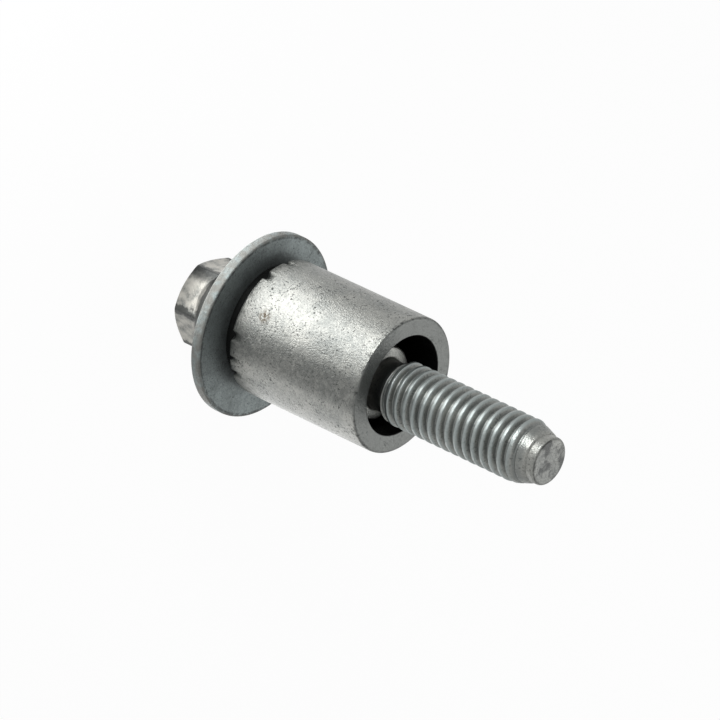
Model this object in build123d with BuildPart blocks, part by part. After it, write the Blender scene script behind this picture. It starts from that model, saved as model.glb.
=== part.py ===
from build123d import *

import os
from math import ceil, cos, radians, sin, tan

# Valve cover bolt: an M6 hex flange bolt with a loose washer and a loose spacer sleeve.
# Sizes are millimetres. The bolt stands on its head: +Z runs along the bolt's axis from
# the head's end face, where the origin is, up to the tip.

# Hexagon of the head
hex_across_flats = 7.6
hex_turn = 23.5  # angle from +X to a corner of the hexagon
hex_corner_round = 0.3
head_height = 6.9  # end face to bearing face
head_end_diameter = 7.1  # flat of the end face, inside its chamfer
head_chamfer_angle = 30

# Flange that carries the washer
flange_diameter = 12.0
flange_rim = 1.2  # straight height of the rim
flange_rim_round = 0.3
flange_bearing_chamfer = 0.3
flange_slope = 33  # angle between the flange's cone and the bolt's axis

# Shoulder and neck inside the sleeve
shoulder_diameter = 7.0
shoulder_setback = 2.35  # how far the shoulder ends inside the sleeve's mouth
shoulder_chamfer = 0.25
neck_diameter = 4.8

# Rolled thread, M6 x 1
thread_diameter = 6.0
thread_pitch = 1.0
thread_depth = 0.56
thread_flank_angle = 30
thread_run_in = 0.67  # how far the groove starts over the neck
thread_setback = 0.45  # how far the thread starts inside the sleeve's mouth
thread_start_chamfer = 0.35
groove_overcut = 0.1  # how far the cut reaches past the crests
thread_length = 16.5
thread_taper_length = 1.7  # where the crests fall away towards the tip
thread_taper_diameter = 4.8

# Pilot point beyond the thread
pilot_diameter = 4.5
pilot_length = 1.0
pilot_chamfer = 0.25

# Washer
washer_diameter = 17.45
washer_thickness = 1.05
washer_play = 0.7  # radial clearance round the shoulder
washer_edge_chamfer = 0.2
washer_shift = 0.56  # how far the loose washer lies off the bolt's axis
washer_shift_angle = 45  # angle from +X of that shift

# Spacer sleeve
sleeve_play = 1.22  # radial clearance round the shoulder
sleeve_wall = 1.73
sleeve_length = 16.1
sleeve_edge_chamfer = 0.25
sleeve_bore_chamfer = 0.12
sleeve_foot_wall = 0.86  # narrower foot that stands on the washer
sleeve_foot_height = 1.2
sleeve_shift = 0.72  # how far the loose sleeve lies off the bolt's axis
sleeve_shift_angle = 7  # angle from +X of that shift

# Nicks in the sleeve's lower edge, as notches with a right angle
nick_angles = (20, 79, 112)
nick_side = 0.5
nick_depth = 0.5  # how far a notch reaches in from the sleeve's outside

# Heights that follow from the sizes above
flange_top = head_height - flange_rim
washer_top = head_height + washer_thickness
sleeve_mouth = washer_top + sleeve_length
shoulder_top = sleeve_mouth - shoulder_setback
thread_start = sleeve_mouth - thread_setback
thread_end = thread_start + thread_length
tip = thread_end + pilot_length

# Radii and reaches that follow from the sizes above
hex_corner_radius = hex_across_flats / 2 / cos(radians(30))
chamfer_height = (hex_corner_radius - head_end_diameter / 2) * tan(radians(head_chamfer_angle))
cone_root_radius = hex_across_flats / 2 - hex_corner_round  # buried inside the hexagon
cone_height = (flange_diameter / 2 - cone_root_radius) / tan(radians(flange_slope))
groove_start = thread_start - thread_run_in
groove_root_radius = thread_diameter / 2 - thread_depth
groove_mouth_radius = thread_diameter / 2 + groove_overcut
groove_half_width = (groove_mouth_radius - groove_root_radius) * tan(radians(thread_flank_angle))
bore_radius = shoulder_diameter / 2 + sleeve_play
sleeve_radius = bore_radius + sleeve_wall

os.makedirs("parts", exist_ok=True)

# Cutter for the thread: one groove along a helix, turn by turn, which starts over the neck
# and runs out over the pilot point
groove_turns = ceil((tip - groove_start) / thread_pitch) - 1
with BuildPart() as thread_groove:
    with BuildLine() as groove_path:
        for turn in range(groove_turns):
            Helix(
                pitch=thread_pitch,
                height=thread_pitch,
                radius=groove_root_radius,
                center=(0, 0, groove_start + turn * thread_pitch),
            )
    with BuildSketch(Plane.XZ) as groove_section:
        with BuildLine():
            Polyline(
                (groove_root_radius, groove_start),
                (groove_mouth_radius, groove_start - groove_half_width),
                (groove_mouth_radius, groove_start + groove_half_width),
                close=True,
            )
        make_face()
    sweep(groove_section.sketch, path=groove_path.wire(), is_frenet=True)

# Bolt, forged and rolled in one piece
with BuildPart() as bolt:
    # The hexagon, with the corners of its end face cut back by a cone
    with BuildSketch() as hexagon:
        RegularPolygon(hex_across_flats / 2, 6, major_radius=False, rotation=hex_turn)
        fillet(hexagon.vertices(), hex_corner_round)
    extrude(amount=flange_top)
    with BuildSketch(Plane.XZ):
        with BuildLine():
            Polyline(
                (head_end_diameter / 2, 0),
                (hex_corner_radius, chamfer_height),
                (hex_corner_radius, 0),
                close=True,
            )
        make_face()
    revolve(axis=Axis.Z, mode=Mode.SUBTRACT)

    # Everything round: flange, shoulder, neck, thread blank and pilot point
    with BuildSketch(Plane.XZ):
        with BuildLine():
            Polyline(
                (0, flange_top - cone_height),
                (cone_root_radius, flange_top - cone_height),
                (flange_diameter / 2, flange_top),
                (flange_diameter / 2, head_height),
                (shoulder_diameter / 2, head_height),
                (shoulder_diameter / 2, shoulder_top - shoulder_chamfer),
                (shoulder_diameter / 2 - shoulder_chamfer, shoulder_top),
                (neck_diameter / 2, shoulder_top),
                (neck_diameter / 2, thread_start),
                (thread_diameter / 2 - thread_start_chamfer, thread_start),
                (thread_diameter / 2, thread_start + thread_start_chamfer),
                (thread_diameter / 2, thread_end - thread_taper_length),
                (thread_taper_diameter / 2, thread_end),
                (pilot_diameter / 2, thread_end),
                (pilot_diameter / 2, tip),
                (0, tip),
                close=True,
            )
        make_face()
    revolve(axis=Axis.Z)
    flange_edges = bolt.edges().filter_by(GeomType.CIRCLE).group_by(SortBy.RADIUS)[-1].sort_by(Axis.Z)
    fillet(flange_edges[0], flange_rim_round)
    chamfer(flange_edges[-1], flange_bearing_chamfer)
    chamfer(bolt.edges().filter_by(GeomType.CIRCLE).sort_by(Axis.Z)[-1], pilot_chamfer)
    add(thread_groove.part, mode=Mode.SUBTRACT)

bolt.part.label = "bolt"
export_step(bolt.part, "parts/bolt.step")

# Washer: a plain ring whose hole clears the shoulder
washer_x = washer_shift * cos(radians(washer_shift_angle))
washer_y = washer_shift * sin(radians(washer_shift_angle))
washer_plane = Plane((washer_x, washer_y, head_height))
with BuildPart() as washer:
    with BuildSketch(washer_plane):
        Circle(washer_diameter / 2)
        Circle(shoulder_diameter / 2 + washer_play, mode=Mode.SUBTRACT)
    extrude(amount=washer_thickness)
    chamfer(
        washer.edges().filter_by(GeomType.CIRCLE).group_by(SortBy.RADIUS)[-1],
        washer_edge_chamfer,
    )

washer.part.label = "washer"
export_step(washer.part, "parts/washer.step")

# Spacer sleeve: a tube on a narrower foot, with nicks in its lower edge
sleeve_x = sleeve_shift * cos(radians(sleeve_shift_angle))
sleeve_y = sleeve_shift * sin(radians(sleeve_shift_angle))
sleeve_plane = Plane((sleeve_x, sleeve_y, washer_top))
with BuildPart(sleeve_plane) as spacer_sleeve:
    with BuildSketch(sleeve_plane):
        Circle(bore_radius + sleeve_foot_wall)
    extrude(amount=sleeve_foot_height)
    with BuildSketch(sleeve_plane.offset(sleeve_foot_height)):
        Circle(sleeve_radius)
    extrude(amount=sleeve_length - sleeve_foot_height)
    chamfer(
        spacer_sleeve.edges().filter_by(GeomType.CIRCLE).group_by(SortBy.RADIUS)[-1],
        sleeve_edge_chamfer,
    )
    with BuildSketch(sleeve_plane):
        Circle(bore_radius)
    extrude(amount=sleeve_length, mode=Mode.SUBTRACT)
    chamfer(
        spacer_sleeve.edges().filter_by(GeomType.CIRCLE).group_by(Axis.Z)[-1].sort_by(SortBy.RADIUS)[0],
        sleeve_bore_chamfer,
    )
    for angle in nick_angles:
        outward = Vector(cos(radians(angle)), sin(radians(angle)), 0)
        foot_centre = sleeve_plane.offset(sleeve_foot_height).origin
        nick_plane = Plane(foot_centre + outward * sleeve_radius, z_dir=outward)
        with BuildSketch(nick_plane):
            Rectangle(nick_side, nick_side, rotation=45)
        extrude(amount=-nick_depth, mode=Mode.SUBTRACT)

spacer_sleeve.part.label = "spacer_sleeve"
export_step(spacer_sleeve.part, "parts/spacer_sleeve.step")
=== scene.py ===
"""Valve cover bolt: a flange bolt, a washer and a spacer sleeve in matt zinc-flake coating.

Everything is in metres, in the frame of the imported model: the bolt stands on its head and
+Z runs up its axis to the tip. Angles round the bolt are counted from +X towards +Y. Only
the materials count in millimetres.
"""

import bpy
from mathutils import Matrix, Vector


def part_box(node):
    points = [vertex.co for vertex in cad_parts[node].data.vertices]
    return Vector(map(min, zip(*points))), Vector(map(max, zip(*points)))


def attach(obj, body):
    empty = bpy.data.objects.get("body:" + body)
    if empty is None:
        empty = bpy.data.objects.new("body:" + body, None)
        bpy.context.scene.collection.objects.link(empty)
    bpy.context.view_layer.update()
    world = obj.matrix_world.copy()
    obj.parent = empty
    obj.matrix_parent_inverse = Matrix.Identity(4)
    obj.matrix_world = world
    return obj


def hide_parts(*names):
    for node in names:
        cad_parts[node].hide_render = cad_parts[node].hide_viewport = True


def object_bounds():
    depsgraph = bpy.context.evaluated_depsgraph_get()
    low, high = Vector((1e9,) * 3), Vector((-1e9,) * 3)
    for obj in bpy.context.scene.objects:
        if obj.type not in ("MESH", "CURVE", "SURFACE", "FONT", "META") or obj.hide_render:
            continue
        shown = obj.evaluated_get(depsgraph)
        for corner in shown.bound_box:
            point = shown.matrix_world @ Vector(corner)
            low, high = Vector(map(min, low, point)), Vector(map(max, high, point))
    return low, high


bl_info = {
    "name": "Valve cover bolt",
    "version": (1, 0, 0),
    "blender": (4, 5, 0),
    "location": "View3D > Sidebar > Bolt",
    "description": "Builds the surfaces of a flange bolt with its washer and spacer sleeve",
    "category": "Add Mesh",
}

from collections import namedtuple
from math import cos, floor, pi, radians, sin, sqrt, tan

import bmesh
import bpy
from bpy.props import FloatProperty, FloatVectorProperty, PointerProperty
from mathutils import Quaternion, Vector, noise

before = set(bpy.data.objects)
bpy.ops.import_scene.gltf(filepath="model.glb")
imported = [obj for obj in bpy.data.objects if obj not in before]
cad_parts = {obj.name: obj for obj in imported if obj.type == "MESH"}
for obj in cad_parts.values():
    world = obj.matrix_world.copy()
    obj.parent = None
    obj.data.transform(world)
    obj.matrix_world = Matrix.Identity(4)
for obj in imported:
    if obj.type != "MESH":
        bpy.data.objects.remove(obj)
CAD_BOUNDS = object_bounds()

MM = 0.001
BOLT_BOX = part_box("bolt")
WASHER_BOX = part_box("washer")
SLEEVE_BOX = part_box("spacer_sleeve")


# Settings


def length(name, description, default):
    """A size in metres that a user can change."""
    return FloatProperty(name=name, description=description, default=default, unit="LENGTH", precision=5)


def angle(name, description, degrees):
    """An angle that a user can change."""
    return FloatProperty(name=name, description=description, default=radians(degrees), subtype="ANGLE")


def share(name, description, default):
    """A number from 0 to 1 that a user can change."""
    return FloatProperty(name=name, description=description, default=default, min=0, max=1, subtype="FACTOR")


def colour(name, description, default):
    """A linear colour that a user can change."""
    return FloatVectorProperty(name=name, description=description, default=default, size=3, subtype="COLOR")


def lamp_power(name, description, default):
    """A lamp's power in watts that a user can change."""
    return FloatProperty(name=name, description=description, default=default, unit="POWER")


class BoltSizes(bpy.types.PropertyGroup):
    """Sizes of the bolt's head, shank and thread."""

    across_flats: length("Across flats", "Width of the hexagon", 7.6 * MM)
    hex_turn: angle("Hexagon turn", "Angle from +X to a corner of the hexagon", 23.5)
    corner_round: length("Corner round", "Radius of the hexagon's upright edges", 0.3 * MM)
    head_height: length("Head height", "From the end face to the bearing face", WASHER_BOX[0][2])
    end_diameter: length("End diameter", "Flat of the head's end face", 7.1 * MM)
    end_round: length("End round", "Radius of the end face's edge", 0.12 * MM)
    chamfer_angle: angle("Chamfer angle", "Slope of the end face's chamfer", 30)
    fine_round: length("Fine round", "Radius of the edges that look sharp", 0.1 * MM)
    flange_diameter: length("Flange diameter", "Width of the flange", 12.0 * MM)
    flange_rim: length("Flange rim", "Straight height of the flange's rim", 1.2 * MM)
    flange_slope: angle("Flange slope", "Between the flange's cone and the axis", 33)
    flange_round: length("Flange round", "Radius of the rim's lower edge", 0.3 * MM)
    bearing_round: length("Bearing round", "Radius of the rim's edge at the washer", 0.15 * MM)
    cone_round: length("Cone round", "Hollow between the hexagon and the flange's cone", 0.5 * MM)
    shoulder_diameter: length("Shoulder diameter", "Smooth part inside the sleeve", 7.0 * MM)
    shoulder_setback: length("Shoulder setback", "From the sleeve's mouth to the shoulder's end", 2.35 * MM)
    shoulder_round: length("Shoulder round", "Radius at the shoulder's end", 0.25 * MM)
    neck_diameter: length("Neck diameter", "Thin part between the shoulder and the thread", 4.8 * MM)
    thread_diameter: length("Thread diameter", "Outer diameter of the thread", 6.0 * MM)
    thread_pitch: length("Pitch", "From one crest to the next", 1.0 * MM)
    thread_depth: length("Thread depth", "From the crest to the root", 0.47 * MM)
    crest_width: length("Crest width", "Flat of a crest", 0.26 * MM)
    crest_round: length("Crest round", "Radius of a crest's edges", 0.07 * MM)
    flank_angle: angle("Flank angle", "Half the angle between two flanks", 30)
    thread_phase: length("Thread phase", "Height of a crest on the +X side above a whole pitch", 0.43 * MM)
    thread_setback: length("Thread setback", "From the sleeve's mouth to the thread's start", 0.45 * MM)
    thread_length: length("Thread length", "Height of the thread", 16.5 * MM)
    taper_length: length("Thread taper", "Where the crests fall away towards the tip", 1.7 * MM)
    taper_diameter: length("Taper diameter", "Width of the thread's last crest", 4.8 * MM)
    pilot_diameter: length("Pilot diameter", "Point beyond the thread", 4.5 * MM)
    pilot_round: length("Pilot round", "Radius of the point's rim", 0.3 * MM)
    flaw_size: length("Flaw size", "Width of the thread's small lumps", 0.9 * MM)
    flaw_height: length("Flaw height", "Height of the thread's small lumps", 0.02 * MM)


class WasherSizes(bpy.types.PropertyGroup):
    """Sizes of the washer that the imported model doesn't give."""

    hole_diameter: length("Hole diameter", "Hole round the shoulder", 8.4 * MM)
    hole_round: length("Hole round", "Radius of the hole's edges", 0.1 * MM)
    edge_round: length("Edge round", "Radius of the punched edge", 0.2 * MM)


class SleeveSizes(bpy.types.PropertyGroup):
    """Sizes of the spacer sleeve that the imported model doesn't give."""

    bore_diameter: length("Bore diameter", "Hole through the sleeve", 9.44 * MM)
    edge_round: length("Edge round", "Radius of the outer edges", 0.25 * MM)
    bore_round: length("Bore round", "Radius of the edge at the bore's mouth", 0.1 * MM)
    foot_diameter: length("Foot diameter", "Narrower foot on the washer", 11.16 * MM)
    foot_height: length("Foot height", "Height of the foot", 1.2 * MM)
    foot_round: length("Foot round", "Radius of the foot's edges", 0.1 * MM)
    nick_depth: length("Nick depth", "How far a nick reaches in from the side", 0.5 * MM)
    ragged_depth: length("Ragged depth", "How uneven the lower edge is between nicks", 0.04 * MM)


class ZincLook(bpy.types.PropertyGroup):
    """Colours and finish of the coating."""

    light: colour("Light grey", "Clean zinc-flake coating", (0.275, 0.277, 0.258))
    # The dark grey also tints the painted shade along the sleeve's side and on its mouth.
    dark: colour("Dark grey", "Worn and dirty coating", (0.15, 0.158, 0.151))
    washer: colour("Washer grey", "Blue-grey coating of the washer's faces", (0.185, 0.21, 0.208))
    bared: colour("Bared metal", "Rubbed edges", (0.42, 0.41, 0.375))
    # The speck colour is also used for painted shade: in the nicks, in the bore, under and round the
    # sleeve's foot, and on one facet of the head.
    speck_and_shade: colour("Speck", "Pits and dirt", (0.035, 0.037, 0.036))
    rust: colour("Rust", "Brown stain on the sleeve", (0.05, 0.036, 0.022))
    metallic: share("Metallic", "How metallic the coating looks", 0.85)
    roughness: share("Roughness", "Roughness of clean coating", 0.34)
    washer_roughness: share("Washer roughness", "Roughness of the washer's coating", 0.55)


class StageSettings(bpy.types.PropertyGroup):
    """Camera, floor and lights."""

    camera_turn: angle("Camera turn", "Direction of the camera round the bolt, from +X", 58)
    camera_height: angle("Camera height", "Elevation of the camera above the floor", 34.385)
    camera_roll: angle("Camera roll", "Turn of the picture that lays the bolt on its side", 115.2)
    camera_distance: length("Camera distance", "From the aim point to the camera", 580.1 * MM)
    camera_aim: FloatVectorProperty(
        name="Camera aim",
        description="Point at the middle of the picture",
        default=(2.353 * MM, 1.858 * MM, 20.388 * MM),
        size=3,
        subtype="TRANSLATION",
    )
    camera_lens: FloatProperty(
        name="Lens", description="Focal length for a 36 mm sensor", default=328.4, unit="CAMERA"
    )
    key_turn: angle("Key turn", "Direction of the key light round the bolt", 28)
    key_power: lamp_power("Key power", "Power of the key light", 0.038)
    side_turn: angle("Side turn", "Direction of the side light round the bolt", 172)
    side_power: lamp_power("Side power", "Power of the side light", 0.006)
    front_height: angle("Front height", "Elevation of the front light, above the key light", 8)
    front_power: lamp_power("Front power", "Power of the front light", 0.075)
    top_turn: angle("Top turn", "Direction of the top light round the bolt", 240)
    top_height: angle("Top height", "Elevation of the top light", 45)
    top_power: lamp_power("Top power", "Power of the top light", 0.08)
    world_light: share("World light", "Brightness of the surroundings on the bolt", 0.3)
    floor_white: share("Floor white", "How far the floor's shadow is lost in white", 0.96)


# Mesh helpers


def centre_of(box):
    """The point half way between the corners of a node's box, at the height of its foot."""
    low, high = box
    return Vector(((low[0] + high[0]) / 2, (low[1] + high[1]) / 2, low[2]))


def radius_of(box):
    """Half the width of a round node."""
    low, high = box
    return (high[0] - low[0]) / 2


def direction(turn, height):
    """A unit vector that points that far round from +X and that high above the floor."""
    return Vector((cos(turn) * cos(height), sin(turn) * cos(height), sin(height)))


def even_angles(count):
    """Angles evenly spaced round a full turn."""
    return [2 * pi * k / count for k in range(count)]


def smoothstep(low, high, x):
    """Rises smoothly from 0 at low to 1 at high."""
    t = min(max((x - low) / (high - low), 0), 1)
    return t * t * (3 - 2 * t)


def rounded_profile(corners, arc_steps=5):
    """A line through corners given as (radius, height, rounding, points on the way there)."""
    most_of_side = 0.48  # a rounding takes less than half of the shorter side
    line = []
    for i, (r, z, rounding, between) in enumerate(corners):
        here = Vector((r, z))
        if i == 0 or i == len(corners) - 1:
            bend = [here]
        else:
            back = Vector(corners[i - 1][:2]) - here
            ahead = Vector(corners[i + 1][:2]) - here
            reach = min(back.length, ahead.length) * most_of_side
            half = back.angle(ahead) / 2
            cut = min(rounding / tan(half), reach)
            a = here + back.normalized() * cut
            b = here + ahead.normalized() * cut
            bend = []
            for k in range(arc_steps + 1):
                t = k / arc_steps
                bend.append((1 - t) ** 2 * a + 2 * t * (1 - t) * here + t * t * b)
        if line:
            last = line[-1]
            for k in range(between):
                line.append(last.lerp(bend[0], (k + 1) / (between + 1)))
        line += bend
    return line


class Surface:
    """Points and faces of one mesh in the making."""

    def __init__(self):
        self.points = []
        self.faces = []

    def turned(self, profiles, centre, angles, closed=False):
        """A skin through one profile for each angle round an upright axis through centre."""
        start = len(self.points)
        rows = len(profiles[0])
        for profile, turn in zip(profiles, angles):
            for r, z in profile:
                self.points.append(centre + Vector((r * cos(turn), r * sin(turn), z)))
        columns = len(profiles)
        for c in range(columns):
            right = (c + 1) % columns
            for row in range(rows if closed else rows - 1):
                up = (row + 1) % rows
                self.faces.append(
                    (
                        start + c * rows + row,
                        start + right * rows + row,
                        start + right * rows + up,
                        start + c * rows + up,
                    )
                )

    def made(self, name, material, body, node, slot):
        """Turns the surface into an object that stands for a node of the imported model."""
        mesh = bpy.data.meshes.new(name)
        mesh.from_pydata(self.points, [], self.faces)
        mesh.validate()
        weld(mesh)
        mesh.shade_smooth()
        piece = bpy.data.objects.new(name, mesh)
        bpy.context.scene.collection.objects.link(piece)
        mesh.materials.append(material)
        normals = piece.modifiers.new("Flat faces", "WEIGHTED_NORMAL")
        normals.keep_sharp = True
        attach(piece, body)
        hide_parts(node)


def weld(mesh, reach=1e-7):
    """Joins points that coincide, such as those at the poles, and turns all faces outwards."""
    work = bmesh.new()
    work.from_mesh(mesh)
    bmesh.ops.remove_doubles(work, verts=work.verts, dist=reach)
    bmesh.ops.recalc_face_normals(work, faces=work.faces)
    work.to_mesh(mesh)
    work.free()


# Shader helpers


class Value:
    """A socket on which arithmetic adds Math nodes."""

    def __init__(self, shader, socket):
        self.shader = shader
        self.socket = socket

    def math(self, operation, *others):
        """This value and others through one Math node."""
        return self.shader.math(operation, self, *others)

    def __add__(self, other):
        return self.math("ADD", other)

    __radd__ = __add__

    def __sub__(self, other):
        return self.math("SUBTRACT", other)

    def __rsub__(self, other):
        return self.shader.math("SUBTRACT", other, self)

    def __mul__(self, other):
        return self.math("MULTIPLY", other)

    __rmul__ = __mul__

    def between(self, low, high):
        """Rises smoothly from 0 at low to 1 at high."""
        node = self.shader.node(
            "ShaderNodeMapRange",
            {"interpolation_type": "SMOOTHSTEP", "clamp": True},
            {"Value": self, "From Min": low, "From Max": high},
        )
        return Value(self.shader, node.outputs["Result"])


class Shader:
    """Adds the nodes of one material. A place is in millimetres."""

    def __init__(self, owner):
        owner.use_nodes = True
        self.tree = owner.node_tree
        self.tree.nodes.clear()

    def node(self, kind, settings=None, sockets=None):
        """One node, with its settings made first and then its sockets' values or links."""
        made = self.tree.nodes.new(kind)
        for key, value in (settings or {}).items():
            setattr(made, key, value)
        for key, value in (sockets or {}).items():
            if isinstance(value, Value):
                self.tree.links.new(value.socket, made.inputs[key])
            elif isinstance(value, bpy.types.NodeSocket):
                self.tree.links.new(value, made.inputs[key])
            else:
                made.inputs[key].default_value = value
        return made

    def math(self, operation, *values):
        """One Math node over values."""
        made = self.node("ShaderNodeMath", {"operation": operation}, dict(enumerate(values)))
        return Value(self, made.outputs[0])

    def blend(self, amount, first, second):
        """Mixes two colours, each a socket or a colour, by amount."""
        made = self.node(
            "ShaderNodeMix",
            {"data_type": "RGBA"},
            {0: amount, 6: solid(first), 7: solid(second)},
        )
        return made.outputs[2]

    def noise(self, place, scale, detail=2.0, rough=0.5):
        """Noise with that many lumps to a millimetre."""
        made = self.node(
            "ShaderNodeTexNoise",
            {"noise_dimensions": "3D"},
            {"Vector": place, "Scale": scale, "Detail": detail, "Roughness": rough},
        )
        return Value(self, made.outputs["Fac"])

    def millimetres(self):
        """The surface's own coordinates in millimetres."""
        here = self.node("ShaderNodeTexCoord").outputs["Object"]
        scaled = self.node("ShaderNodeVectorMath", {"operation": "SCALE"}, {0: here, "Scale": 1 / MM})
        return scaled.outputs[0]

    def axes(self, place):
        """The three coordinates of a place as values."""
        split = self.node("ShaderNodeSeparateXYZ", None, {0: place})
        return [Value(self, socket) for socket in split.outputs]

    def height(self, place):
        """How high a place lies above the floor."""
        return self.axes(place)[2]

    def radius(self, place, centre):
        """How far a place lies from an upright axis through centre, a point in metres."""
        x, y = self.axes(place)[:2]
        dx = x - centre.x / MM
        dy = y - centre.y / MM
        return (dx * dx + dy * dy).math("SQRT")

    def distance(self, place, point):
        """How far a place lies from a fixed point."""
        made = self.node("ShaderNodeVectorMath", {"operation": "DISTANCE"}, {0: place, 1: point})
        return Value(self, made.outputs["Value"])


# A mark on the coating: mask is a function of the shader and the place that gives where the
# mark is, from 0 to 1, strength is how well it covers, and tint is its colour
Mark = namedtuple("Mark", ("mask", "strength", "tint"))


def solid(value):
    """A colour with its alpha, or a socket as it is."""
    if isinstance(value, (bpy.types.NodeSocket, Value)):
        return value
    return (*value, 1.0)


def shade(tint, brightness):
    """A colour made lighter or darker."""
    return tuple(c * brightness for c in tint)


def zinc_coat(name, look, light, dark, roughness, grain_height, specks, marks):
    """Matt zinc-flake coating: mottled grey with fine glitter, dirt specks and worn patches.

    light and dark are the greys, grain_height is in millimetres, specks scales how much dirt
    there is, and marks are painted over the coating in their order.
    """
    material = bpy.data.materials.new(name)
    shader = Shader(material)
    place = shader.millimetres()
    patches = shader.noise(place, scale=0.33, detail=3.0, rough=0.6)
    mottle = shader.noise(place, scale=1.6, detail=4.0, rough=0.62)
    grain = shader.noise(place, scale=6.0, detail=2.0, rough=0.7)
    glitter = shader.noise(place, scale=9.0, detail=1.0, rough=0.6)

    worn = (patches * 0.45 + mottle * 0.3 + grain * 0.35).between(0.38, 0.74)
    base = shader.blend(worn, tuple(light), tuple(dark))
    clusters = shader.noise(place, scale=0.6, detail=2.0).between(0.42, 0.56)
    dots = shader.noise(place, scale=4.6, detail=3.0, rough=0.7).between(0.56, 0.63)
    dirt = dots * (clusters * 0.6 + 0.35) * specks
    base = shader.blend(dirt, base, tuple(look.speck_and_shade))
    for mark in marks:
        amount = mark.mask(shader, place) * mark.strength
        base = shader.blend(amount, base, tuple(mark.tint))

    # Grain's roughness swings about the given one, and dirt is rougher
    grain_swing = 0.24
    rough = grain * grain_swing + dirt * 0.25 + (roughness - grain_swing / 2)
    lumps = mottle * 0.08 + grain * 0.32 + glitter * 0.2
    bump = shader.node(
        "ShaderNodeBump",
        None,
        {"Strength": 1.0, "Distance": grain_height * MM, "Height": lumps},
    )
    surface = shader.node(
        "ShaderNodeBsdfPrincipled",
        None,
        {
            "Base Color": base,
            "Metallic": look.metallic,
            "Roughness": rough,
            "Normal": bump.outputs[0],
        },
    )
    shader.node("ShaderNodeOutputMaterial", None, {"Surface": surface.outputs[0]})
    return material


# The bolt


def flange_foot(sizes):
    """Height where the flange's straight rim starts."""
    return sizes.head_height - sizes.flange_rim


def shoulder_end(sizes):
    """Height where the shoulder steps down to the neck."""
    return SLEEVE_BOX[1][2] - sizes.shoulder_setback


def thread_start(sizes):
    """Height where the thread starts."""
    return SLEEVE_BOX[1][2] - sizes.thread_setback


def thread_end(sizes):
    """Height where the thread ends and the point starts."""
    return thread_start(sizes) + sizes.thread_length


def hexagon_radius(sizes, turn):
    """Distance from the axis to the hexagon's side at an angle, with rounded corners."""
    flat = sizes.across_flats / 2
    sector = pi / 3
    off = (turn - sizes.hex_turn) % sector
    off = min(off, sector - off)  # from the nearest corner
    side = flat / cos(sector / 2 - off)
    corner_centre = (flat - sizes.corner_round) / cos(sector / 2)
    across = corner_centre * sin(off)
    if across < sizes.corner_round * sin(sector / 2):
        rounded = corner_centre * cos(off) + sqrt(sizes.corner_round**2 - across**2)
        side = min(side, rounded)
    return side


def head_angles(sizes):
    """Angles round the bolt, closer together at the hexagon's corners."""
    corner_half = radians(5)
    corner_steps = 16
    side_steps = 24
    angles = []
    for corner in range(6):
        start = sizes.hex_turn + corner * pi / 3
        angles += [start + corner_half * (2 * k / corner_steps - 1) for k in range(corner_steps + 1)]
        gap = pi / 3 - 2 * corner_half
        angles += [start + corner_half + gap * k / side_steps for k in range(1, side_steps)]
    return angles


def bolt_profile(sizes, turn):
    """The bolt's outline at one angle, from the middle of its end face to the tip, less the thread."""
    end = sizes.end_diameter / 2
    side = hexagon_radius(sizes, turn)
    chamfer_top = (side - end) * tan(sizes.chamfer_angle)
    flange = sizes.flange_diameter / 2
    rim_foot = flange_foot(sizes)
    cone_foot = rim_foot - (flange - side) / tan(sizes.flange_slope)
    shoulder = sizes.shoulder_diameter / 2
    shoulder_top = shoulder_end(sizes)
    neck = sizes.neck_diameter / 2
    neck_top = thread_end(sizes) - 0.6 * MM  # under the thread's taper
    pilot = sizes.pilot_diameter / 2
    pilot_foot = neck_top + 0.3 * MM
    tip = BOLT_BOX[1][2]
    return rounded_profile(
        [
            (0, 0, 0, 0),
            (end, 0, sizes.end_round, 4),
            (side, chamfer_top, sizes.fine_round, 2),
            (side, cone_foot, sizes.cone_round, 8),
            (flange, rim_foot, sizes.flange_round, 8),
            (flange, sizes.head_height, sizes.bearing_round, 1),
            (shoulder, sizes.head_height, sizes.fine_round, 1),
            (shoulder, shoulder_top, sizes.shoulder_round, 6),
            (neck, shoulder_top, sizes.shoulder_round, 2),
            (neck, neck_top, sizes.fine_round, 2),
            (pilot, pilot_foot, sizes.fine_round, 1),
            (pilot, tip, sizes.pilot_round, 5),
            (0, tip, 0, 8),
        ]
    )


def thread_envelope(sizes, z):
    """The largest radius that the thread has at a height."""
    lead_height = 0.5 * MM  # where the crests come out of the neck
    lead_slope = 0.9
    end_slope = 1.2
    least = 1.2 * MM  # inside the neck and the point
    end = thread_end(sizes)
    outer = sizes.thread_diameter / 2
    lead = outer - lead_slope * (thread_start(sizes) + lead_height - z)
    taper_start = end - sizes.taper_length
    taper_slope = (outer - sizes.taper_diameter / 2) / sizes.taper_length
    tail = outer - taper_slope * max(z - taper_start, 0) - end_slope * max(z - end, 0)
    return max(min(outer, lead, tail), least)


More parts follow.
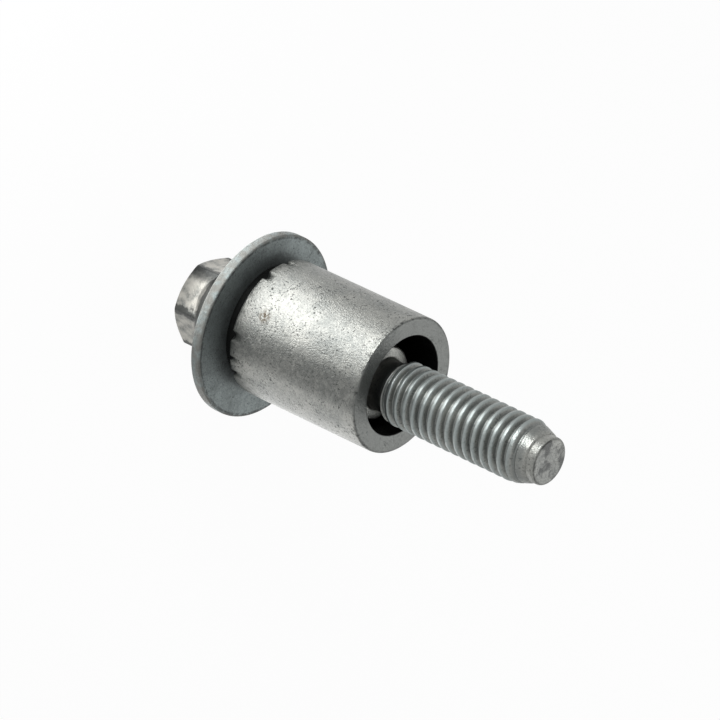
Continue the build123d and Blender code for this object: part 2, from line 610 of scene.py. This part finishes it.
def add_thread(surface, sizes, steps=144):
    """The thread as a closed helical skin, whose ends are buried in the neck and the point."""
    run_in = 1.2 * MM  # how far the skin starts over the neck
    tip_cover = 0.1 * MM  # what is left of the point above the skin
    root_round = sizes.fine_round
    pitch = sizes.thread_pitch
    outer = sizes.thread_diameter / 2
    root = outer - sizes.thread_depth
    flank = sizes.thread_depth * tan(sizes.flank_angle)
    crest_half = sizes.crest_width / 2
    root_width = pitch - sizes.crest_width - 2 * flank
    one_pitch = rounded_profile(
        [
            (outer, 0, 0, 0),
            (outer, crest_half, sizes.crest_round, 0),
            (root, crest_half + flank, root_round, 2),
            (root, crest_half + flank + root_width, root_round, 0),
            (outer, pitch - crest_half, sizes.crest_round, 2),
            (outer, pitch, 0, 0),
        ],
        arc_steps=3,
    )[:-1]
    start = floor((thread_start(sizes) - run_in) / pitch) * pitch + sizes.thread_phase
    top = BOLT_BOX[1][2] - tip_cover
    turns = int((top - start) / pitch)
    first = len(surface.points)
    rows = len(one_pitch)
    columns = turns * steps
    for c in range(columns + 1):
        turn = 2 * pi * c / steps
        for r, rise in one_pitch:
            z = start + pitch * c / steps + rise
            flaw = noise.noise(Vector((r * cos(turn), r * sin(turn), z)) / sizes.flaw_size)
            r_here = min(r, thread_envelope(sizes, z)) + flaw * sizes.flaw_height
            surface.points.append(Vector((r_here * cos(turn), r_here * sin(turn), min(z, top))))

    def point(c, row):
        """Number of a point, where the last row is the first one a turn further on."""
        if row == rows:
            c, row = c + steps, 0
        return first + c * rows + row

    for c in range(columns):
        for row in range(rows):
            corners = (point(c, row), point(c + 1, row), point(c + 1, row + 1), point(c, row + 1))
            if max(corners) < len(surface.points):
                surface.faces.append(corners)


class BOLT_OT_make_bolt(bpy.types.Operator):
    """Builds the bolt with its head, shoulder, neck, rolled thread and point"""

    bl_idname = "bolt.make_bolt"
    bl_label = "Bolt"

    def execute(self, context):
        sizes = context.scene.bolt_sizes
        look = context.scene.zinc_look
        axis = Vector((0, 0, 0))
        surface = Surface()
        angles = head_angles(sizes)
        profiles = [bolt_profile(sizes, turn) for turn in angles]
        surface.turned(profiles, axis, angles)
        add_thread(surface, sizes)

        # Radii and heights in millimetres
        flat = sizes.across_flats / 2 / MM
        corner = flat / cos(pi / 6)
        crest = sizes.thread_diameter / 2 / MM
        flange = flange_foot(sizes) / MM
        shoulder = shoulder_end(sizes) / MM
        start = thread_start(sizes) / MM
        end = thread_end(sizes) / MM
        tip = BOLT_BOX[1][2] / MM

        def on_facets(shader, place):
            """Coating rubbed bright on the hexagon by the socket."""
            middle = 1 - shader.radius(place, axis).between(flat + 0.25, flat + 0.5)
            rubbed = shader.noise(place, scale=1.3, detail=3.0).between(0.3, 0.62)
            below_flange = 1 - shader.height(place).between(flange - 1.2, flange - 0.3)
            return middle * rubbed * below_flange

        def on_corners(shader, place):
            """Ragged dark lines along the hexagon's corners."""
            ragged = shader.radius(place, axis) + shader.noise(place, scale=2.2, detail=3.0) * 0.5
            line = ragged.between(corner - 0.02, corner + 0.06)
            below_flange = 1 - shader.height(place).between(flange - 1.5, flange - 0.9)
            return line * below_flange

        def shade_beside_corner(shader, place):
            """Painted shade: a soft dark band on one facet of the hexagon, beside a corner."""
            x, y, z = shader.axes(place)
            turn = sizes.hex_turn + pi / 6
            out = x * cos(turn) + y * sin(turn)
            side = y * cos(turn) - x * sin(turn) + shader.noise(place, scale=1.5) * 0.5
            shade_band = 1 - side.between(-1.3, -0.4)
            below_flange = 1 - z.between(flange - 0.9, flange - 0.1)
            return out.between(flat - 0.3, flat - 0.1) * shade_band * below_flange

        def on_thread(shader, place):
            """Crests rubbed lighter than the flanks."""
            rubbed = shader.radius(place, axis).between(crest - 0.25, crest - 0.02)
            return rubbed * shader.height(place).between(start - 0.1, start + 0.6)

        def shade_in_grooves(shader, place):
            """Painted shade at the bottom of the thread's grooves and on the neck inside the sleeve."""
            deep = 1 - shader.radius(place, axis).between(crest - 0.5, crest - 0.1)
            height = shader.height(place)
            inside = height.between(shoulder + 0.3, start) * (1 - height.between(end - 0.7, end + 0.1))
            return deep * inside

        def on_point(shader, place):
            """Dark marks on the end of the point."""
            blots = shader.noise(place, scale=0.9, detail=3.0).between(0.45, 0.62)
            return shader.height(place).between(tip - 0.12, tip - 0.04) * (blots * 0.5 + 0.45)

        marks = (
            Mark(on_facets, 1.0, look.bared),
            Mark(on_corners, 0.75, look.speck_and_shade),
            # Painted shade on one facet of the hexagon, beside a corner
            Mark(shade_beside_corner, 0.85, look.speck_and_shade),
            Mark(on_thread, 0.7, shade(look.washer, 1.4)),
            # Painted shade in the thread's grooves and on the neck
            Mark(shade_in_grooves, 0.55, shade(look.washer, 0.6)),
            Mark(on_point, 1.0, look.speck_and_shade),
        )
        coat = zinc_coat(
            "zinc_bolt",
            look,
            light=look.light,
            dark=look.dark,
            roughness=look.roughness,
            grain_height=0.08,
            specks=0.7,
            marks=marks,
        )
        surface.made("bolt_surface", coat, "bolt", "bolt", "bolt_steel")
        return {"FINISHED"}


# The washer


class BOLT_OT_make_washer(bpy.types.Operator):
    """Builds the washer with its punched edges"""

    bl_idname = "bolt.make_washer"
    bl_label = "Washer"

    def execute(self, context):
        sizes = context.scene.washer_sizes
        look = context.scene.zinc_look
        centre = centre_of(WASHER_BOX)
        outer = radius_of(WASHER_BOX)
        hole = sizes.hole_diameter / 2
        thick = WASHER_BOX[1][2] - WASHER_BOX[0][2]
        profile = rounded_profile(
            [
                (hole, thick / 2, 0, 0),
                (hole, 0, sizes.hole_round, 1),
                (outer, 0, sizes.edge_round, 6),
                (outer, thick, sizes.edge_round, 2),
                (hole, thick, sizes.hole_round, 6),
                (hole, thick / 2, 0, 1),
            ]
        )[:-1]
        surface = Surface()
        angles = even_angles(count=320)
        surface.turned([profile] * len(angles), centre, angles, closed=True)

        # Radii in millimetres
        rim = outer / MM
        sleeve_side = radius_of(SLEEVE_BOX) / MM

        def on_rim(shader, place):
            """Rubbed coating round the rim."""
            rubbed = shader.noise(place, scale=1.2, detail=3.0).between(0.3, 0.6)
            return shader.radius(place, centre).between(rim - 0.25, rim - 0.12) * rubbed

        def inside_rim(shader, place):
            """Thin dark line where the face meets the rim."""
            radius = shader.radius(place, centre)
            line = radius.between(rim - 0.42, rim - 0.3) * (1 - radius.between(rim - 0.2, rim - 0.1))
            broken = shader.noise(place, scale=1.5, detail=3.0).between(0.35, 0.55)
            return line * broken

        def shadow_round_sleeve(shader, place):
            """Painted shadow on the face round the foot of the sleeve."""
            radius = shader.radius(place, centre_of(SLEEVE_BOX))
            return 1 - radius.between(sleeve_side - 0.5, sleeve_side + 0.6)

        marks = (
            Mark(on_rim, 0.8, shade(look.bared, 0.27)),
            Mark(inside_rim, 0.7, look.speck_and_shade),
            # Painted shadow on the washer's face round the sleeve's foot
            Mark(shadow_round_sleeve, 0.3, look.speck_and_shade),
        )
        coat = zinc_coat(
            "zinc_washer",
            look,
            light=look.washer,
            dark=shade(look.washer, 0.6),
            roughness=look.washer_roughness,
            grain_height=0.1,
            specks=0.5,
            marks=marks,
        )
        surface.made("washer_surface", coat, "washer", "washer", "washer_steel")
        return {"FINISHED"}


# The spacer sleeve


# Angle and half width of each nick in the sleeve's lower edge, in degrees
NICKS = ((22, 4.5), (80, 4.2), (100, 2.6), (115, 3.8), (-2, 3.0))

# How high above the lower edge a nick is at its deepest, and where it has run out
NICK_LOW = 0.1 * MM
NICK_HIGH = 0.6 * MM

# Lumps of the ragged lower edge: how many to a millimetre of height or a radian round
RAGGED_SCALE = 9.0


def nick_share(turn, z, edge):
    """How deep a nick is at an angle and a height, as a share of the deepest."""
    deepest = 0.0
    for where, half_width in NICKS:
        off = (turn - radians(where) + pi) % (2 * pi) - pi
        deepest = max(deepest, 1 - (off / radians(half_width)) ** 2)
    return deepest * (1 - smoothstep(NICK_LOW, NICK_HIGH, z - edge))


def sleeve_profile(sizes, outline, outer, turn):
    """The sleeve's outline at one angle, with the nicks and the ragged lower edge cut in."""
    foot = sizes.foot_diameter / 2
    rise = sizes.foot_height
    past_foot = 0.1 * MM  # so that the foot itself stays round
    edge_reach = 0.7 * MM  # how high above the lower edge it is uneven
    profile = []
    for r, z in outline:
        if r > foot + past_foot and z < rise + edge_reach:
            ragged = noise.noise(Vector((cos(turn), sin(turn), z / MM)) * RAGGED_SCALE)
            depth = sizes.nick_depth * nick_share(turn, z, rise) + sizes.ragged_depth * max(ragged, 0)
            r -= depth * (r - foot) / (outer - foot)
        profile.append((r, z))
    return profile


class BOLT_OT_make_sleeve(bpy.types.Operator):
    """Builds the spacer sleeve with its narrower foot and broken lower edge"""

    bl_idname = "bolt.make_sleeve"
    bl_label = "Spacer sleeve"

    def execute(self, context):
        sizes = context.scene.sleeve_sizes
        look = context.scene.zinc_look
        centre = centre_of(SLEEVE_BOX)
        outer = radius_of(SLEEVE_BOX)
        bore = sizes.bore_diameter / 2
        foot = sizes.foot_diameter / 2
        rise = sizes.foot_height
        tall = SLEEVE_BOX[1][2] - SLEEVE_BOX[0][2]
        outline = rounded_profile(
            [
                (bore, tall / 2, 0, 0),
                (bore, 0, sizes.foot_round, 4),
                (foot, 0, sizes.foot_round, 1),
                (foot, rise, sizes.foot_round, 2),
                (outer, rise, sizes.edge_round, 3),
                (outer, tall, sizes.edge_round, 24),
                (bore, tall, sizes.bore_round, 3),
                (bore, tall / 2, 0, 4),
            ]
        )[:-1]
        angles = even_angles(count=480)
        profiles = [sleeve_profile(sizes, outline, outer, turn) for turn in angles]
        surface = Surface()
        surface.turned(profiles, centre, angles, closed=True)

        # Radii and heights in millimetres
        side = outer / MM
        bore_side = bore / MM
        edge = (centre.z + rise) / MM
        mouth = (centre.z + tall) / MM

        def under_side(turn, depth, height):
            """A point that deep under the side and that high above the foot, in millimetres."""
            return (centre + direction(turn, 0) * (outer - depth) + Vector((0, 0, height))) / MM

        def shade_and_pits_along_side(shader, place):
            """A darker strip along one side: painted shade where the light falls off, with pitted, dirty
            coating in it.
            """
            strip_turn = radians(82)
            fades_out = radians(19)
            full_from = radians(6)
            x, y = shader.axes(place)[:2]
            out = (x - centre.x / MM) * cos(strip_turn) + (y - centre.y / MM) * sin(strip_turn)
            strip = out.between(side * cos(fades_out), side * cos(full_from))
            pitted = shader.noise(place, scale=2.4, detail=4.0, rough=0.7).between(0.25, 0.65)
            return strip * (pitted * 0.45 + 0.25)

        def stain(shader, place):
            """Brown stain on the side."""
            spot = under_side(turn=radians(55), depth=0, height=4.0 * MM)
            near = 1 - shader.distance(place, spot).between(0.2, 0.9)
            return near * shader.noise(place, scale=3.4, detail=3.0).between(0.4, 0.55)

        def shade_on_mouth(shader, place):
            """Painted shade: the end face at the mouth made darker."""
            return shader.height(place).between(mouth - 0.12, mouth - 0.05)

        def round_mouth(shader, place):
            """Dark dashes along the mouth's outer edge."""
            rim = shader.radius(place, centre).between(side - 0.3, side - 0.1)
            rim = rim * shader.height(place).between(mouth - 0.32, mouth - 0.12)
            dashes = shader.noise(place, scale=1.9, detail=4.0, rough=0.7).between(0.5, 0.6)
            return rim * dashes

        def shade_in_nicks(shader, place):
            """Painted shade in the nicks of the lower edge."""
            shaded = 0
            for where, half_width in NICKS:
                reach = outer * radians(half_width) / MM
                spot = under_side(turn=radians(where), depth=0.25 * MM, height=rise)
                near = 1 - shader.distance(place, spot).between(reach * 0.7, reach * 1.2)
                shaded = near.math("MAXIMUM", shaded)
            return shaded

        def out_of_light(shader, place):
            """Painted shade in the bore and under the lower edge, where no light gets in."""
            in_bore = 1 - shader.radius(place, centre).between(bore_side + 0.02, bore_side + 0.12)
            under = 1 - shader.height(place).between(edge - 0.05, edge + 0.1)
            return in_bore.math("MAXIMUM", under)

        marks = (
            # Painted shade along one side of the sleeve, with pitted coating in it
            Mark(shade_and_pits_along_side, 1.0, shade(look.dark, 0.42)),
            Mark(stain, 0.85, look.rust),
            # Painted shade on the end face at the mouth
            Mark(shade_on_mouth, 0.9, shade(look.dark, 0.68)),
            Mark(round_mouth, 0.85, look.speck_and_shade),
            # Painted shade in the nicks of the lower edge
            Mark(shade_in_nicks, 0.9, look.speck_and_shade),
            # Painted shade in the bore and under the lower edge
            Mark(out_of_light, 0.98, shade(look.speck_and_shade, 0.25)),
        )
        coat = zinc_coat(
            "zinc_sleeve",
            look,
            light=look.light,
            dark=look.dark,
            roughness=look.roughness,
            grain_height=0.13,
            specks=1.0,
            marks=marks,
        )
        surface.made("sleeve_surface", coat, "sleeve", "spacer_sleeve", "sleeve_steel")
        return {"FINISHED"}


# Stage


def add_camera(stage):
    """The camera at the photograph's viewing angle."""
    lens = bpy.data.cameras.new("Camera")
    lens.sensor_width = 36.0
    lens.lens = stage.camera_lens
    lens.clip_start = 0.01
    lens.clip_end = 10.0
    camera = bpy.data.objects.new("Camera", lens)
    bpy.context.scene.collection.objects.link(camera)
    back = direction(stage.camera_turn, stage.camera_height)
    camera.location = Vector(stage.camera_aim) + back * stage.camera_distance
    camera.rotation_mode = "QUATERNION"
    level = (-back).to_track_quat("-Z", "Y")
    camera.rotation_quaternion = level @ Quaternion((0, 0, 1), stage.camera_roll)
    bpy.context.scene.camera = camera


def add_lamp(name, place, width, height, power):
    """A rectangular light at a place, invisible to the camera."""
    data = bpy.data.lights.new(name, "AREA")
    data.shape = "RECTANGLE"
    data.size = width
    data.size_y = height
    data.energy = power
    lamp = bpy.data.objects.new(name, data)
    bpy.context.scene.collection.objects.link(lamp)
    lamp.location = place
    lamp.visible_camera = False
    return lamp


def add_card(name, turn, start, end, width, power):
    """A glowing card just over the floor that shines upwards.

    It leads away from the bolt, from start to end, and is as wide as width says.
    """
    above_floor = 0.5 * MM
    place = direction(turn, 0) * (start + end) / 2
    place.z = CAD_BOUNDS[0].z + above_floor
    lamp = add_lamp(name, place, end - start, width, power)
    lamp.rotation_euler = (pi, 0, turn)


def add_soft_box(name, turn, height, distance, width, power):
    """A square soft box above the floor that shines on the bolt's middle."""
    middle = Vector((0, 0, 18 * MM))
    lamp = add_lamp(name, middle + direction(turn, height) * distance, width, width, power)
    lamp.rotation_euler = direction(turn, height).to_track_quat("Z", "Y").to_euler()


def seen_directly(shader):
    """1 for what the camera sees itself, in a mirror or through glass, otherwise 0."""
    path = shader.node("ShaderNodeLightPath")
    seen = Value(shader, path.outputs["Is Camera Ray"])
    seen = seen.math("MAXIMUM", path.outputs["Is Glossy Ray"])
    return seen.math("MAXIMUM", path.outputs["Is Transmission Ray"])


def add_surroundings(stage):
    """A white background and plain light from all round."""
    world = bpy.data.worlds.new("World")
    bpy.context.scene.world = world
    shader = Shader(world)
    strength = seen_directly(shader) * (1 - stage.world_light) + stage.world_light
    light = shader.node("ShaderNodeBackground", None, {"Color": (1, 1, 1, 1), "Strength": strength})
    shader.node("ShaderNodeOutputWorld", None, {"Surface": light.outputs[0]})


def add_floor(stage):
    """A white floor that keeps a soft shadow."""
    half = 3.0
    mesh = bpy.data.meshes.new("floor")
    corners = [(-half, -half, 0), (half, -half, 0), (half, half, 0), (-half, half, 0)]
    mesh.from_pydata(corners, [], [(0, 1, 2, 3)])
    floor_plane = bpy.data.objects.new("floor", mesh)
    floor_plane.location.z = CAD_BOUNDS[0].z
    bpy.context.scene.collection.objects.link(floor_plane)
    material = bpy.data.materials.new("floor_white")
    shader = Shader(material)
    lit = shader.node("ShaderNodeBsdfDiffuse", None, {"Color": (0.9, 0.9, 0.9, 1)})
    white = shader.node("ShaderNodeEmission", None, {"Color": (1, 1, 1, 1), "Strength": 1.0})
    amount = seen_directly(shader) * stage.floor_white
    mixed = shader.node("ShaderNodeMixShader", None, {0: amount, 1: lit.outputs[0], 2: white.outputs[0]})
    shader.node("ShaderNodeOutputMaterial", None, {"Surface": mixed.outputs[0]})
    mesh.materials.append(material)


class BOLT_OT_make_stage(bpy.types.Operator):
    """Sets up the camera, the white floor and the soft lights"""

    bl_idname = "bolt.make_stage"
    bl_label = "Stage"

    def execute(self, context):
        stage = context.scene.bolt_stage
        add_camera(stage)
        add_surroundings(stage)
        add_floor(stage)
        add_card(
            "Key", stage.key_turn, start=6 * MM, end=110 * MM, width=26 * MM, power=stage.key_power
        )
        add_card(
            "Side", stage.side_turn, start=10 * MM, end=64 * MM, width=40 * MM, power=stage.side_power
        )
        add_soft_box(
            "Front",
            stage.key_turn,
            stage.front_height,
            distance=100 * MM,
            width=36 * MM,
            power=stage.front_power,
        )
        add_soft_box(
            "Top",
            stage.top_turn,
            stage.top_height,
            distance=200 * MM,
            width=120 * MM,
            power=stage.top_power,
        )
        context.scene.view_settings.view_transform = "Standard"
        return {"FINISHED"}


class BOLT_PT_panel(bpy.types.Panel):
    """Lists the pieces of the bolt and the stage"""

    bl_idname = "BOLT_PT_panel"
    bl_label = "Valve cover bolt"
    bl_space_type = "VIEW_3D"
    bl_region_type = "UI"
    bl_category = "Bolt"

    def draw(self, context):
        for operator in OPERATORS:
            self.layout.operator(operator.bl_idname)


GROUPS = {
    "bolt_sizes": BoltSizes,
    "washer_sizes": WasherSizes,
    "sleeve_sizes": SleeveSizes,
    "zinc_look": ZincLook,
    "bolt_stage": StageSettings,
}
OPERATORS = (
    BOLT_OT_make_bolt,
    BOLT_OT_make_washer,
    BOLT_OT_make_sleeve,
    BOLT_OT_make_stage,
)


def register():
    """Makes the settings, operators and panel known."""
    for name, group in GROUPS.items():
        bpy.utils.register_class(group)
        setattr(bpy.types.Scene, name, PointerProperty(type=group))
    for operator in OPERATORS:
        bpy.utils.register_class(operator)
    bpy.utils.register_class(BOLT_PT_panel)


def unregister():
    """Takes back what register made known."""
    bpy.utils.unregister_class(BOLT_PT_panel)
    for operator in reversed(OPERATORS):
        bpy.utils.unregister_class(operator)
    for name, group in GROUPS.items():
        delattr(bpy.types.Scene, name)
        bpy.utils.unregister_class(group)


def main():
    register()
    bpy.ops.bolt.make_bolt()
    bpy.ops.bolt.make_washer()
    bpy.ops.bolt.make_sleeve()
    bpy.ops.bolt.make_stage()


if __name__ == "__main__":
    main()
